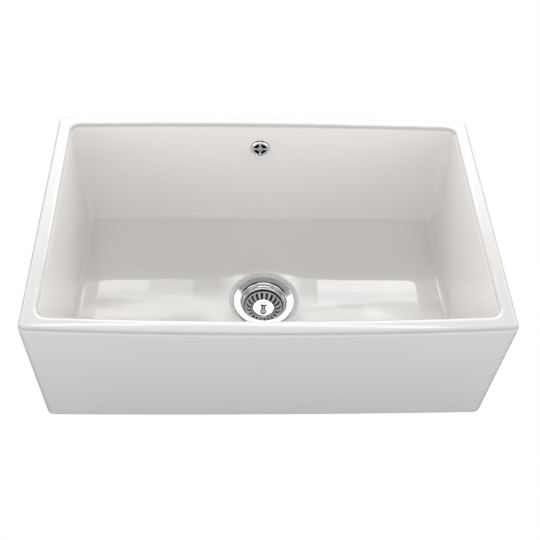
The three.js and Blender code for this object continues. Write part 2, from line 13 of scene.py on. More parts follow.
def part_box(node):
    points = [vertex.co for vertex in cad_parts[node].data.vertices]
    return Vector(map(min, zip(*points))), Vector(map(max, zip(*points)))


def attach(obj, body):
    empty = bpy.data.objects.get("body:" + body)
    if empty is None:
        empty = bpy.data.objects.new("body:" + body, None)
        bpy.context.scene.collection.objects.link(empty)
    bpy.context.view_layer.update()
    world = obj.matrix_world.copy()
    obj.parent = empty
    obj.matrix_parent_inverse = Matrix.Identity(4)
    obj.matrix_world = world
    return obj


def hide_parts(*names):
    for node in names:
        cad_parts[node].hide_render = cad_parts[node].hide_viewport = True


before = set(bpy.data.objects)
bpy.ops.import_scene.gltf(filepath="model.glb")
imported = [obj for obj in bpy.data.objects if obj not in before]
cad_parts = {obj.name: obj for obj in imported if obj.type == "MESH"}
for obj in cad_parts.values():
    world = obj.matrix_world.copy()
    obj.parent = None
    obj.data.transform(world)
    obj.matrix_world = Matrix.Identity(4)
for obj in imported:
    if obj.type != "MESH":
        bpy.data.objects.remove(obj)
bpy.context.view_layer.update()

MM = 0.001
TOUCHING = 1e-6  # points closer than this count as one

# ---------------------------------------------------------------- sizes

basin_low, basin_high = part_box("sink_basin")
HALF_WIDTH = basin_high.x
RIM_HEIGHT = basin_high.z
APRON_BOW_TOP = 8.5 * MM
APRON_BOW_FOOT = 2.5 * MM
BACK_BOW = 3 * MM
FRONT = basin_low.y + APRON_BOW_TOP
BACK = basin_high.y - BACK_BOW
WALL = 27 * MM
OUTER_CORNER = 12 * MM
INNER_CORNER = 15 * MM
RIM_OUTER_ROUNDING = 8 * MM
RIM_INNER_ROUNDING = 8.6 * MM
FOOT_ROUNDING = 10 * MM
FLOOR_FILLET = 12 * MM
FLOOR_AT_WALLS = 34 * MM
FLOOR_AT_DISH = 29 * MM
INNER_BOW_FRONT = 7.5 * MM
INNER_BOW_BACK_TOP = 5 * MM
INNER_BOW_BACK_FOOT = 3 * MM
SIDE_DRAFT = 3 * MM
FRONT_DRAFT = 3 * MM
BACK_DRAFT = 12 * MM

FLANGE_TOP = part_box("waste_flange_bowl")[1].z
BOWL_SHEET = 1 * MM
BOWL_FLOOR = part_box("waste_flange_bowl")[0].z + BOWL_SHEET
BASKET_SHEET = 0.8 * MM
SLOTS = 20
KNOB_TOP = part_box("basket_knob")[1].z

rose_low, rose_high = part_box("overflow_rose")
OVERFLOW_X = (rose_low.x + rose_high.x) / 2
OVERFLOW_HEIGHT = 213.8 * MM
OVERFLOW_HOLE = 14 * MM
ROSE_SHEET = 1 * MM
PIPE_AXIS_Y = (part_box("hose_nut_upper")[0].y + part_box("hose_nut_upper")[1].y) / 2
HOSE_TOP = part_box("overflow_hose")[1].z
INLET_HEIGHT = (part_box("hose_nut_lower")[0].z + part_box("hose_nut_lower")[1].z) / 2
HOSE_END_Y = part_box("overflow_hose")[0].y

# ---------------------------------------------------------------- camera

# The photo's view, with the lens in millimetres
SENSOR_WIDTH = 36
FOCAL_LENGTH = 53.35
CAMERA_PLACE = Vector((-58.7, -902.2, 1262.8)) * MM
CAMERA_YAW = math.radians(4.25)
CAMERA_PITCH = math.radians(51.58)
CAMERA_ROLL = math.radians(3.50)
NEAREST_SEEN = 0.05


def make_camera():
    camera = bpy.data.cameras.new("camera")
    camera.lens = FOCAL_LENGTH
    camera.sensor_width = SENSOR_WIDTH
    camera.clip_start = NEAREST_SEEN
    holder = bpy.data.objects.new("camera", camera)
    right = Vector((math.cos(CAMERA_YAW), -math.sin(CAMERA_YAW), 0))
    ahead = Vector((
        math.sin(CAMERA_YAW) * math.cos(CAMERA_PITCH),
        math.cos(CAMERA_YAW) * math.cos(CAMERA_PITCH),
        -math.sin(CAMERA_PITCH),
    ))
    up = right.cross(ahead)
    across = math.cos(CAMERA_ROLL) * right + math.sin(CAMERA_ROLL) * up
    upright = -math.sin(CAMERA_ROLL) * right + math.cos(CAMERA_ROLL) * up
    turn = Matrix((across, upright, -ahead)).transposed()
    holder.matrix_world = Matrix.Translation(CAMERA_PLACE) @ turn.to_4x4()
    bpy.context.collection.objects.link(holder)
    bpy.context.scene.camera = holder


make_camera()

# ---------------------------------------------------------------- how pieces are made

SHARP_ANGLE = math.radians(34)
BROKEN_EDGE = 0.3 * MM


def mark_sharp_edges(bm):
    for face in bm.faces:
        face.smooth = True
    for edge in bm.edges:
        edge.smooth = edge.calc_face_angle(0) < SHARP_ANGLE


def finished(name, bm, *materials):
    """The mesh as an object of its own, with smooth faces between its edges."""
    mark_sharp_edges(bm)
    mesh = bpy.data.meshes.new(name)
    bm.to_mesh(mesh)
    bm.free()
    piece = bpy.data.objects.new(name, mesh)
    for material in materials:
        mesh.materials.append(material)
    bpy.context.collection.objects.link(piece)
    return piece


def close_up(bm):
    bmesh.ops.remove_doubles(bm, verts=bm.verts, dist=TOUCHING)
    bmesh.ops.recalc_face_normals(bm, faces=bm.faces)


def wire(bm, points):
    """A path of edges through [radius, height] points in millimetres, standing in the XZ plane."""
    verts = [bm.verts.new((radius * MM, 0, height * MM)) for radius, height in points]
    for start, end in zip(verts, verts[1:]):
        bm.edges.new((start, end))
    return verts


def spin_path(bm, steps):
    bmesh.ops.spin(
        bm,
        geom=bm.verts[:] + bm.edges[:],
        cent=(0, 0, 0),
        axis=(0, 0, 1),
        angle=2 * math.pi,
        steps=steps,
        use_merge=True,
    )
    bmesh.ops.remove_doubles(bm, verts=bm.verts, dist=TOUCHING)


def round_corners(bm, verts, radius, segments=3):
    bmesh.ops.bevel(
        bm,
        geom=verts,
        offset=radius * MM,
        offset_type="OFFSET",
        segments=segments,
        profile=0.5,
        affect="VERTICES",
        material=-1,
        clamp_overlap=True,
    )


def spun_sheet(path, steps, rounding):
    """A sheet spun from its visible side, given from outside to inside, facing up and in."""
    bm = bmesh.new()
    verts = wire(bm, path)
    round_corners(bm, verts[1:-1], rounding)
    spin_path(bm, steps)
    bmesh.ops.recalc_face_normals(bm, faces=bm.faces)
    facing = sum(face.normal.z * face.calc_area() for face in bm.faces)
    if facing < 0:
        bmesh.ops.reverse_faces(bm, faces=bm.faces)
    return bm


def spun_solid(path, steps, rounding):
    """A turned solid from its outline, which starts and ends on the axis or closes on itself."""
    bm = bmesh.new()
    verts = wire(bm, path)
    if rounding:
        round_corners(bm, verts[1:-1], rounding, segments=2)
    spin_path(bm, steps)
    close_up(bm)
    return bm


def polar(face):
    """Radius and angle of a face's middle about the Z axis."""
    middle = face.calc_center_median()
    return math.hypot(middle.x, middle.y), math.atan2(middle.y, middle.x) % (2 * math.pi)


def open_up(bm, is_open):
    """Takes out the faces whose middle, as radius and angle, lies in an opening."""
    openings = [face for face in bm.faces if is_open(*polar(face))]
    bmesh.ops.delete(bm, geom=openings, context="FACES")


def thicken(piece, thickness):
    """Gives a sheet its metal behind the visible side."""
    solid = piece.modifiers.new("metal", "SOLIDIFY")
    solid.thickness = thickness
    solid.offset = -1
    solid.use_even_offset = True


def soften_edges(piece, width):
    bevel = piece.modifiers.new("edges", "BEVEL")
    bevel.width = width
    bevel.segments = 2
    bevel.limit_method = "ANGLE"
    bevel.angle_limit = SHARP_ANGLE
    bevel.harden_normals = True


def even_shading(piece):
    """Lets the large faces set the normals, so that flats stay flat beside their roundings."""
    weighted = piece.modifiers.new("shading", "WEIGHTED_NORMAL")
    weighted.keep_sharp = True
    weighted.weight = 100


def cut(piece, cutter):
    """Takes the cutter's volume out of the piece for good."""
    boolean = piece.modifiers.new("cut", "BOOLEAN")
    boolean.operation = "DIFFERENCE"
    boolean.solver = "EXACT"
    boolean.object = cutter
    bpy.context.view_layer.update()
    evaluated = piece.evaluated_get(bpy.context.evaluated_depsgraph_get())
    result = bpy.data.meshes.new_from_object(evaluated)
    piece.modifiers.clear()
    old = piece.data
    result.name = old.name
    piece.data = result
    bpy.data.meshes.remove(old)
    bpy.data.objects.remove(cutter)
    bm = bmesh.new()
    bm.from_mesh(piece.data)
    bmesh.ops.remove_doubles(bm, verts=bm.verts, dist=TOUCHING)
    mark_sharp_edges(bm)
    bm.to_mesh(piece.data)
    bm.free()


def merged_copy(node, material):
    """A copy of a rigid CAD node with its triangles joined and its edges broken."""
    bm = bmesh.new()
    bm.from_mesh(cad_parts[node].data)
    bmesh.ops.remove_doubles(bm, verts=bm.verts, dist=2 * TOUCHING)
    bmesh.ops.dissolve_limit(bm, angle_limit=math.radians(1), verts=bm.verts, edges=bm.edges)
    piece = finished(node.title(), bm, material)
    soften_edges(piece, BROKEN_EDGE)
    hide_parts(node)
    return piece


# ---------------------------------------------------------------- shared surface effects


def add_socket(group, direction, name, kind="NodeSocketFloat"):
    group.interface.new_socket(name=name, in_out=direction, socket_type=kind)


def node_in(tree, kind, inputs=None, **settings):
    node = tree.nodes.new(kind)
    for key, value in settings.items():
        setattr(node, key, value)
    for key, value in (inputs or {}).items():
        node.inputs[key].default_value = value
    return node


def noise_in(tree, place, scale, detail):
    """Noise in the object's space, with about that many waves in a metre and that many finer octaves."""
    noise = node_in(tree, "ShaderNodeTexNoise", {"Scale": scale, "Detail": detail, "Roughness": 0.5})
    tree.links.new(place, noise.inputs["Vector"])
    return noise.outputs["Fac"]


def ramp(tree, value, start, end):
    """Rises smoothly from 0 at start to 1 at end."""
    node = node_in(
        tree, "ShaderNodeMapRange", {"From Min": start, "From Max": end}, interpolation_type="SMOOTHSTEP"
    )
    tree.links.new(value, node.inputs["Value"])
    return node.outputs["Result"]


def combined(tree, operation, one, other):
    """Two values, each a socket or a plain number, taken together by a math node."""
    node = node_in(tree, "ShaderNodeMath", operation=operation)
    for socket, value in zip(node.inputs, (one, other)):
        if isinstance(value, float):
            socket.default_value = value
        else:
            tree.links.new(value, socket)
    return node.outputs["Value"]


def product(tree, one, other):
    return combined(tree, "MULTIPLY", one, other)


# How many waves each pattern has in a metre
WAVE_SCALE = 9
PEEL_SCALE = 60
CLOUD_SCALE = 3
SMEAR_SCALE = 60
SPECKLE_SCALE = 420


def make_glaze_surface():
    """Normal and colour mask of a poured glaze: long waves, fine orange peel and faint cloudiness."""
    group = bpy.data.node_groups.new("glaze_surface", "ShaderNodeTree")
    add_socket(group, "INPUT", "Wave Height")
    add_socket(group, "INPUT", "Peel Height")
    add_socket(group, "OUTPUT", "Normal", "NodeSocketVector")
    add_socket(group, "OUTPUT", "Cloud")
    start = group.nodes.new("NodeGroupInput")
    end = group.nodes.new("NodeGroupOutput")
    place = group.nodes.new("ShaderNodeTexCoord").outputs["Object"]
    link = group.links.new
    waves = node_in(group, "ShaderNodeBump", {"Distance": 1.0})
    link(noise_in(group, place, WAVE_SCALE, detail=1), waves.inputs["Height"])
    link(start.outputs["Wave Height"], waves.inputs["Strength"])
    peel = node_in(group, "ShaderNodeBump", {"Distance": 1.0})
    link(noise_in(group, place, PEEL_SCALE, detail=1), peel.inputs["Height"])
    link(start.outputs["Peel Height"], peel.inputs["Strength"])
    link(waves.outputs["Normal"], peel.inputs["Normal"])
    link(peel.outputs["Normal"], end.inputs["Normal"])
    link(noise_in(group, place, CLOUD_SCALE, detail=2), end.inputs["Cloud"])
    return group


# Where the painted dark reflection line lies: between these depths under the rim's top it sets in, and it
# fades out as the upward part of the normal nears that of a wall or that of the flat
DARK_LINE_DEPTHS = (14 * MM, 6 * MM)
WALL_TO_EDGE = (0.3, 0.68)
FLAT_TO_EDGE = (0.97, 0.75)


def make_painted_dark_line():
    """Mask of the painted dark reflection line: 1 where the rim's roundings slope by about 45 degrees, and 0
    on flat and walls.
    """
    group = bpy.data.node_groups.new("painted_dark_line_mask", "ShaderNodeTree")
    add_socket(group, "OUTPUT", "Painted Darkness")
    end = group.nodes.new("NodeGroupOutput")
    place = group.nodes.new("ShaderNodeSeparateXYZ")
    slope = group.nodes.new("ShaderNodeSeparateXYZ")
    group.links.new(group.nodes.new("ShaderNodeTexCoord").outputs["Object"], place.inputs["Vector"])
    group.links.new(group.nodes.new("ShaderNodeNewGeometry").outputs["Normal"], slope.inputs["Vector"])
    high = ramp(group, place.outputs["Z"], *(RIM_HEIGHT - depth for depth in DARK_LINE_DEPTHS))
    not_upright = ramp(group, slope.outputs["Z"], *WALL_TO_EDGE)
    not_flat = ramp(group, slope.outputs["Z"], *FLAT_TO_EDGE)
    edge = product(group, product(group, not_upright, not_flat), high)
    group.links.new(edge, end.inputs["Painted Darkness"])
    return group


SMEAR_RANGE = (0.35, 0.65)  # the noise seldom leaves these values


def make_wear_surface():
    """Roughness and normal of handled metal, plastic or rubber: soft smears and a fine grain."""
    group = bpy.data.node_groups.new("handled_surface", "ShaderNodeTree")
    add_socket(group, "INPUT", "Roughness Low")
    add_socket(group, "INPUT", "Roughness High")
    add_socket(group, "INPUT", "Grain Scale")
    add_socket(group, "INPUT", "Grain Height")
    add_socket(group, "OUTPUT", "Roughness")
    add_socket(group, "OUTPUT", "Normal", "NodeSocketVector")
    start = group.nodes.new("NodeGroupInput")
    end = group.nodes.new("NodeGroupOutput")
    place = group.nodes.new("ShaderNodeTexCoord").outputs["Object"]
    link = group.links.new
    smear = node_in(group, "ShaderNodeMapRange", dict(zip(("From Min", "From Max"), SMEAR_RANGE)))
    link(noise_in(group, place, SMEAR_SCALE, detail=3), smear.inputs["Value"])
    link(start.outputs["Roughness Low"], smear.inputs["To Min"])
    link(start.outputs["Roughness High"], smear.inputs["To Max"])
    link(smear.outputs["Result"], end.inputs["Roughness"])
    grain = node_in(group, "ShaderNodeTexNoise", {"Detail": 1.0})
    link(place, grain.inputs["Vector"])
    link(start.outputs["Grain Scale"], grain.inputs["Scale"])
    bump = node_in(group, "ShaderNodeBump", {"Distance": 0.01})
    link(grain.outputs["Fac"], bump.inputs["Height"])
    link(start.outputs["Grain Height"], bump.inputs["Strength"])
    link(bump.outputs["Normal"], end.inputs["Normal"])
    return group


GLAZE_SURFACE = make_glaze_surface()
PAINTED_DARK_LINE = make_painted_dark_line()
WEAR_SURFACE = make_wear_surface()

# ---------------------------------------------------------------- materials


def new_material(name):
    material = bpy.data.materials.new(name)
    material.use_nodes = True
    return material, material.node_tree, material.node_tree.nodes["Principled BSDF"]


def use_group(tree, group, **values):
    node = tree.nodes.new("ShaderNodeGroup")
    node.node_tree = group
    for key, value in values.items():
        node.inputs[key.replace("_", " ")].default_value = value
    return node


def white_to_camera(tree, paper_kind, lit, surface):
    """Plain white where the camera looks straight at it, and the lit shader in every other ray."""
    paper = node_in(tree, paper_kind, {"Color": (1, 1, 1, 1), "Strength": 1.0})
    seen = tree.nodes.new("ShaderNodeLightPath").outputs["Is Camera Ray"]
    mixed = tree.nodes.new("ShaderNodeMixShader")
    tree.links.new(seen, mixed.inputs["Fac"])
    tree.links.new(lit, mixed.inputs[1])
    tree.links.new(paper.outputs[0], mixed.inputs[2])
    tree.links.new(mixed.outputs["Shader"], surface)


def add_wear(tree, shader, low, high, grain, depth):
    """Smears between two roughnesses, and a grain of the given scale and height."""
    wear = use_group(
        tree, WEAR_SURFACE, Roughness_Low=low, Roughness_High=high, Grain_Scale=grain, Grain_Height=depth
    )
    tree.links.new(wear.outputs["Roughness"], shader.inputs["Roughness"])
    tree.links.new(wear.outputs["Normal"], shader.inputs["Normal"])


def mixed_color(tree, mask, color, other):
    """From one colour to the other with the mask. The first may be a socket."""
    mix = node_in(tree, "ShaderNodeMix", data_type="RGBA")
    tree.links.new(mask, mix.inputs["Factor"])
    if isinstance(color, tuple):
        mix.inputs["A"].default_value = (*color, 1)
    else:
        tree.links.new(color, mix.inputs["A"])
    mix.inputs["B"].default_value = (*other, 1)
    return mix.outputs["Result"]


def glaze():
    """White opaque glaze, with a painted dark reflection line in warm grey over the rim's roundings where
    they slope by about 45 degrees.
    """
    material, tree, shader = new_material("white_glaze")
    surface = use_group(tree, GLAZE_SURFACE, Wave_Height=0.0016, Peel_Height=0.0004)
    tint = mixed_color(tree, surface.outputs["Cloud"], (0.926, 0.909, 0.890), (0.940, 0.926, 0.910))
    dark_line_paint = use_group(tree, PAINTED_DARK_LINE)
    # painted dark reflection: the rim's sloping roundings are greyed in the base colour
    color = mixed_color(tree, dark_line_paint.outputs["Painted Darkness"], tint, (0.66, 0.65, 0.635))
    tree.links.new(color, shader.inputs["Base Color"])
    tree.links.new(surface.outputs["Normal"], shader.inputs["Normal"])
    shader.inputs["Roughness"].default_value = 0.035
    shader.inputs["IOR"].default_value = 1.7
    return material


def biscuit():
    """The unglazed, ground foot of the fireclay."""
    material, tree, shader = new_material("bare_fireclay")
    place = tree.nodes.new("ShaderNodeTexCoord").outputs["Object"]
    speckle = noise_in(tree, place, SPECKLE_SCALE, detail=4)
    color = mixed_color(tree, speckle, (0.62, 0.57, 0.49), (0.72, 0.68, 0.60))
    tree.links.new(color, shader.inputs["Base Color"])
    add_wear(tree, shader, low=0.7, high=0.9, grain=700, depth=0.25)
    return material


def handled(name, color, low, high, metallic, grain, depth):
    """A plain coloured metal, plastic or rubber with smears and grain."""
    material, tree, shader = new_material(name)
    shader.inputs["Base Color"].default_value = (*color, 1)
    shader.inputs["Metallic"].default_value = metallic
    add_wear(tree, shader, low, high, grain, depth)
    return material


GLAZE = glaze()
BISCUIT = biscuit()

# Colour, lowest and highest roughness, metallic, and the grain's scale and height
# Painted shade: the overflow bore is near-black so that the hole behind the rose looks dark
PAINTED_SHADE_BORE = handled("painted_shade_bore_paint", (0.05, 0.047, 0.042), 0.8, 0.9, 0.0, 700, 0.2)
POLISHED_STEEL = handled("polished_steel", (0.8, 0.8, 0.803), 0.05, 0.10, 1.0, 300, 0.002)
PRESSED_STEEL = handled("pressed_steel", (0.95, 0.95, 0.95), 0.4, 0.5, 0.55, 500, 0.006)
# Painted shade: near-black steel for the waste bowl's inside, seen dark through the strainer's slots
PAINTED_SHADE_STEEL = handled("painted_shade_steel_paint", (0.07, 0.07, 0.072), 0.4, 0.55, 1.0, 500, 0.01)
SATIN_STEEL = handled("satin_steel", (0.5, 0.5, 0.51), 0.25, 0.38, 1.0, 900, 0.02)
CHROME = handled("chrome", (0.78, 0.79, 0.8), 0.03, 0.06, 1.0, 200, 0.001)
BRASS = handled("turned_brass", (0.62, 0.44, 0.18), 0.25, 0.4, 1.0, 900, 0.03)
WHITE_PLASTIC = handled("white_plastic", (0.78, 0.78, 0.755), 0.38, 0.5, 0.0, 1400, 0.05)
GREY_PLASTIC = handled("grey_plastic", (0.5, 0.51, 0.51), 0.4, 0.52, 0.0, 1400, 0.05)
RUBBER = handled("black_rubber", (0.018, 0.018, 0.019), 0.55, 0.75, 0.0, 1200, 0.1)
FOAM = handled("foam_rubber", (0.035, 0.035, 0.036), 0.85, 0.95, 0.0, 500, 0.5)

# ---------------------------------------------------------------- fireclay basin

# How each loop of the skin is divided. All have the same number of points, so that they can be bridged
CORNER_STEPS = 8
LONG_CUTS = 23
SHORT_CUTS = 15
LOOP_COUNT = 4 * CORNER_STEPS + 2 * (LONG_CUTS + 1) + 2 * (SHORT_CUTS + 1)


def wall_plan(half_width, front, back, radius, bow_front, bow_back):
    return {
        "half_width": half_width,
        "front": front,
        "back": back,
        "radius": radius,
        "bow_front": bow_front,
        "bow_back": bow_back,
    }


def inset(plan, distance):
    moved = dict(plan)
    moved["half_width"] -= distance
    moved["front"] += distance
    moved["back"] -= distance
    moved["radius"] -= distance
    return moved


def blended(plan, other, share):
    return {key: plan[key] + (other[key] - plan[key]) * share for key in plan}


STOREY = 20 * MM  # the loops are bridged as a tower, so that each pair lies well apart


def stack_loop(bm, height, storey):
    """Lifts the loop just made in the plane z = 0 to its storey and notes its real height."""
    real_height = bm.verts.layers.float["real_height"]
    loop = [vert for vert in bm.verts if vert.co.z < STOREY / 2]
    for vert in loop:
        vert[real_height] = height
        vert.co.z = STOREY * (storey + 1)
    return list({edge for vert in loop for edge in vert.link_edges})


def wall_loop(bm, plan):
    """A loop of edges: a rectangle with round corners whose front and back swell at mid width."""
    depth = plan["back"] - plan["front"]
    middle = (plan["back"] + plan["front"]) / 2
    made = bmesh.ops.create_grid(bm, x_segments=1, y_segments=1, size=0.5)["verts"]
    bmesh.ops.scale(bm, vec=(2 * plan["half_width"], depth, 1), verts=made)
    bmesh.ops.translate(bm, vec=(0, middle, 0), verts=made)
    bmesh.ops.bevel(
        bm,
        geom=made,
        offset=plan["radius"],
        offset_type="OFFSET",
        segments=CORNER_STEPS,
        profile=0.5,
        affect="VERTICES",
        material=-1,
    )
    bmesh.ops.delete(bm, geom=bm.faces[:], context="FACES_ONLY")
    edges = [edge for edge in bm.edges if edge.verts[0].co.z < STOREY / 2]
    long_edges = [e for e in edges if abs(e.verts[0].co.x - e.verts[1].co.x) > plan["half_width"]]
    side_edges = [e for e in edges if abs(e.verts[0].co.y - e.verts[1].co.y) > depth / 2]
    bmesh.ops.subdivide_edges(bm, edges=long_edges, cuts=LONG_CUTS)
    bmesh.ops.subdivide_edges(bm, edges=side_edges, cuts=SHORT_CUTS)
    straight = plan["half_width"] - plan["radius"]
    for vert in bm.verts:
        if vert.co.z > STOREY / 2:
            continue
        swell = max(0, 1 - (vert.co.x / straight) ** 2)
        if abs(vert.co.y - plan["front"]) < TOUCHING:
            vert.co.y -= plan["bow_front"] * swell
        elif abs(vert.co.y - plan["back"]) < TOUCHING:
            vert.co.y += plan["bow_back"] * swell


def quarter(steps):
    """Shares of a quarter turn, as (1 - cosine, sine) at each step."""
    for step in range(steps + 1):
        angle = math.pi / 2 * step / steps
        yield 1 - math.cos(angle), math.sin(angle)


OUTER_FOOT = wall_plan(HALF_WIDTH, FRONT, BACK, OUTER_CORNER, APRON_BOW_FOOT, BACK_BOW)
OUTER_TOP = wall_plan(HALF_WIDTH, FRONT, BACK, OUTER_CORNER, APRON_BOW_TOP, BACK_BOW)
INNER_TOP = wall_plan(
    HALF_WIDTH - WALL, FRONT + WALL, BACK - WALL, INNER_CORNER, INNER_BOW_FRONT, INNER_BOW_BACK_TOP
)
INNER_FOOT = wall_plan(
    HALF_WIDTH - WALL - SIDE_DRAFT,
    FRONT + WALL + FRONT_DRAFT,
    BACK - WALL - BACK_DRAFT,
    INNER_CORNER,
    INNER_BOW_FRONT,
    INNER_BOW_BACK_FOOT,
)
WALL_TOP = RIM_HEIGHT - RIM_INNER_ROUNDING
WALL_FOOT = FLOOR_AT_WALLS + FLOOR_FILLET
ROUNDING_STEPS = 8
WALL_SHARES = (0.01, 0.25, 0.5, 0.75, 0.99)  # close to both ends, which keeps the roundings round

# The dish round the waste, from the floor down to the flange's seat, then the waste hole and the recess
# under it, as radius and height in millimetres
WASTE_HOLE = 46.0
RECESS = 75.0
RECESS_DEPTH = 5.0
DISH_PATH = [
    (67.5, FLOOR_AT_DISH / MM),
    (66.6, 28.85),
    (65.4, 28.35),
    (63.6, 27.2),
    (61.4, 25.9),
    (59.6, 25.25),
    (58.5, 24.9),
    (58.0, 24.2),
    (47.5, 24.2),
    (46.4, 23.8),
    (WASTE_HOLE, 22.7),
    (WASTE_HOLE, RECESS_DEPTH),
    (RECESS, RECESS_DEPTH),
    (RECESS, 0.0),
]
FLOOR_CUTS = 6  # extra loops across the floor, between its fillet and the dish
BARE_FOOT = 0.4 * MM  # the skin is unglazed below this height
DRILL_LENGTH = 90 * MM
DRILL_MIDDLE = BACK - 20 * MM
BORE_SLANT = 0.3  # the bore's faces look less than this to the front or back, unlike the wall's


def basin_plans():
    """Every loop of the skin with its height: foot, outer wall, rim, inner wall and floor's edge."""
    plans = []
    for rise, out in quarter(ROUNDING_STEPS):
        plans.append((inset(OUTER_FOOT, FOOT_ROUNDING * (1 - out)), FOOT_ROUNDING * rise))
    outer_top = RIM_HEIGHT - RIM_OUTER_ROUNDING
    for share in WALL_SHARES:
        height = FOOT_ROUNDING + (outer_top - FOOT_ROUNDING) * share
        plans.append((blended(OUTER_FOOT, OUTER_TOP, share), height))
    for inwards, rise in quarter(ROUNDING_STEPS):
        plans.append((inset(OUTER_TOP, RIM_OUTER_ROUNDING * inwards), outer_top + RIM_OUTER_ROUNDING * rise))
    for drop, inwards in quarter(ROUNDING_STEPS):
        plan = inset(INNER_TOP, -RIM_INNER_ROUNDING * (1 - inwards))
        plans.append((plan, RIM_HEIGHT - RIM_INNER_ROUNDING * drop))
    for share in WALL_SHARES:
        height = WALL_TOP + (WALL_FOOT - WALL_TOP) * share
        plans.append((blended(INNER_TOP, INNER_FOOT, share), height))
    for inwards, drop in quarter(ROUNDING_STEPS):
        plans.append((inset(INNER_FOOT, FLOOR_FILLET * inwards), WALL_FOOT - FLOOR_FILLET * drop))
    return plans


def basin_skin():
    """One closed skin: each loop bridged to the next, and the last to the first."""
    bm = bmesh.new()
    real_height = bm.verts.layers.float.new("real_height")
    loops = []
    for plan, height in basin_plans():
        wall_loop(bm, plan)
        loops.append(stack_loop(bm, height, len(loops)))
    for radius, height in DISH_PATH:
        bmesh.ops.create_circle(bm, segments=LOOP_COUNT, radius=radius * MM)
        loops.append(stack_loop(bm, height * MM, len(loops)))
    for one, following in zip(loops, loops[1:] + loops[:1]):
        bmesh.ops.bridge_loops(bm, edges=one + following)
    for vert in bm.verts:
        vert.co.z = vert[real_height]
    floor_ends = (FLOOR_AT_WALLS, FLOOR_AT_DISH)
    floor_bridge = [
        edge
        for edge in bm.edges
        if edge.verts[0].co.z != edge.verts[1].co.z
        and all(min(abs(vert.co.z - end) for end in floor_ends) < TOUCHING for vert in edge.verts)
    ]
    bmesh.ops.subdivide_edges(bm, edges=floor_bridge, cuts=FLOOR_CUTS)
    close_up(bm)
    return bm


def drill_overflow(basin):
    """The overflow hole through the back wall, whose bore gets the third material: near-black, painted shade
    in the hole.
    """
    drill = bmesh.new()
    middle = Matrix.Translation((OVERFLOW_X, DRILL_MIDDLE, OVERFLOW_HEIGHT))
    bmesh.ops.create_cone(
        drill,
        cap_ends=True,
        segments=48,
        radius1=OVERFLOW_HOLE,
        radius2=OVERFLOW_HOLE,
        depth=DRILL_LENGTH,
        matrix=middle @ Matrix.Rotation(math.pi / 2, 4, "X"),
    )
    cut(basin, finished("drill", drill))
    for face in basin.data.polygons:
        off_axis = math.hypot(face.center.x - OVERFLOW_X, face.center.z - OVERFLOW_HEIGHT)
        in_bore = off_axis < OVERFLOW_HOLE and abs(face.normal.y) < BORE_SLANT
        if in_bore and face.center.y > 0:
            face.material_index = 2


def make_basin():
    bm = basin_skin()
    for face in bm.faces:
        face.material_index = int(face.calc_center_median().z < BARE_FOOT)
    basin = finished("Basin", bm, GLAZE, BISCUIT, PAINTED_SHADE_BORE)
    drill_overflow(basin)
    even_shading(basin)
    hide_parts("sink_basin")
    return basin


# ---------------------------------------------------------------- waste

# The paths are radius and height in millimetres, and the sheets' paths are their visible sides. This one
# runs from the flange's edge over its top and down the stepped mouth to the hole for the bolt
BOWL_PATH = [
    (57.2, 24.9),
    (57.2, FLANGE_TOP / MM),
    (46.0, 27.2),
    (43.7, 26.0),
    (42.3, 24.3),
    (41.4, 20.4),
    (39.2, 19.2),
    (38.6, 16.0),
    (37.2, 15.2),
    (36.3, 2.0),
    (36.0, -8.0),
    (33.6, BOWL_FLOOR / MM),
    (20.5, BOWL_FLOOR / MM),
    (10.5, BOWL_FLOOR / MM),
    (5.6, BOWL_FLOOR / MM),
]
PAINTED_SHADE_BELOW = 9 * MM  # the bowl's inside under the strainer's lip is near-black steel, painted shade seen through the slots
WINDOW_INNER = 10.5 * MM
WINDOW_OUTER = 20.5 * MM
WINDOW_SPAN = math.radians(60)


def in_window(radius, angle):
    """The bowl's floor has four windows, one on each side of the bolt."""
    off_axis = (angle + math.pi / 4) % (math.pi / 2) - math.pi / 4
    return WINDOW_INNER < radius < WINDOW_OUTER and abs(off_axis) < WINDOW_SPAN / 2


def make_flange_bowl():
    bm = spun_sheet(BOWL_PATH, steps=96, rounding=0.8)
    open_up(bm, in_window)
    for face in bm.faces:
        face.material_index = int(face.calc_center_median().z < PAINTED_SHADE_BELOW)
    bowl = finished("Flange_bowl", bm, POLISHED_STEEL, PAINTED_SHADE_STEEL)
    thicken(bowl, BOWL_SHEET)
    soften_edges(bowl, width=0.2 * MM)
    even_shading(bowl)
    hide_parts("waste_flange_bowl", "waste_bowl_floor")
    return bowl


# From the rolled lip down the wall, through the valley and up to the raised disc
BASKET_PATH = [
    (35.8, 8.6),
    (35.7, 10.05),
    (33.9, 9.8),
    (33.1, 7.6),
    (32.2, 4.2),
    (29.8, 0.0),
    (26.6, -1.4),
    (23.6, 0.0),
    (21.2, 3.8),
    (19.6, 4.6),
    (2.5, 4.6),
]
DISC_RADIUS = 20.8 * MM
SLOT_INNER = 22.6 * MM
SLOT_OUTER = 33.3 * MM
STEPS_PER_SLOT = 7
OPEN_STEPS = 3


def in_slot(radius, angle):
    """A slot is the first steps of its share of the turn, and the rest is the bar beside it."""
    step = int(angle / (2 * math.pi) * SLOTS * STEPS_PER_SLOT)
    return SLOT_INNER < radius < SLOT_OUTER and step % STEPS_PER_SLOT < OPEN_STEPS


def make_basket():
    bm = spun_sheet(BASKET_PATH, SLOTS * STEPS_PER_SLOT, rounding=0.8)
    open_up(bm, in_slot)
    for face in bm.faces:
        radius, _ = polar(face)
        face.material_index = int(radius < DISC_RADIUS)
    basket = finished("Strainer_basket", bm, PRESSED_STEEL, POLISHED_STEEL)
    thicken(basket, BASKET_SHEET)
    soften_edges(basket, width=0.12 * MM)
    even_shading(basket)
    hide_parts("strainer_basket")
    return basket


